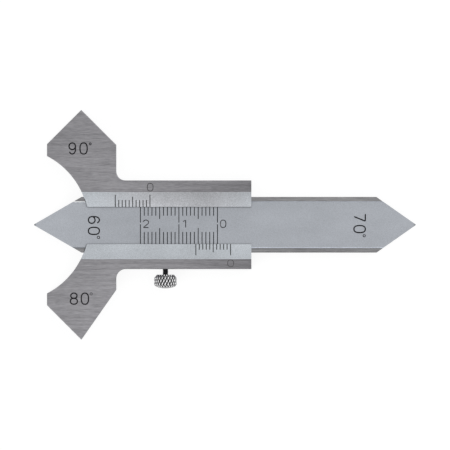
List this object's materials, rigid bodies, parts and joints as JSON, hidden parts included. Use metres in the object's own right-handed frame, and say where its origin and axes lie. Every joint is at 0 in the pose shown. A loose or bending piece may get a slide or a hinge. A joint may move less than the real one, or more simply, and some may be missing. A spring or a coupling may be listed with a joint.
{
  "type": "weld gauge",
  "caption": "Flat steel weld gauge: a notched body with angled jaws, a pointed blade whose scale slides under bevelled vernier lips, and a knurled side screw that locks the blade.",
  "frame": {"origin": "on the body's back face, below the crossing of the slide's centre line and the lock screw's axis", "axes": "+X along the slide away from the weld, +Y across it towards the 90 degree jaw, +Z from the back face to the scales"},
  "size_m": [0.0991, 0.0596, 0.0061],
  "materials": {
    "body_steel": "ground flats, satin bevels",
    "slide_steel": "ground strips, satin scale face",
    "spring_steel": "rolled strip",
    "pad_brass": "turned",
    "screw_chrome": "bright, knurled"
  },
  "bodies": {
    "body": {"body": "body_steel", "leaf_spring": "spring_steel"},
    "slide": {"slide": "slide_steel"},
    "pad": {"pressure_pad": "pad_brass"},
    "screw": {"lock_screw": "screw_chrome"}
  },
  "joints": [
    {"name": "slide_travel", "type": "slide", "parent": "body", "child": "slide", "axis": [1, 0, 0], "range_m": [-0.0175, 0.0234]},
    {"name": "pad_travel", "type": "slide", "parent": "body", "child": "pad", "axis": [0, 1, 0], "range_m": [-0.0006999, 0]},
    {"name": "lock_turn", "type": "hinge", "parent": "pad", "child": "screw", "pos_m": [0, -0.014, 0.0031], "axis": [0, 1, 0], "range_deg": [-720, 0]}
  ],
  "couplings": [
    {"joint": "lock_turn", "follows": "pad_travel", "rad_per_m": 17952}
  ]
}
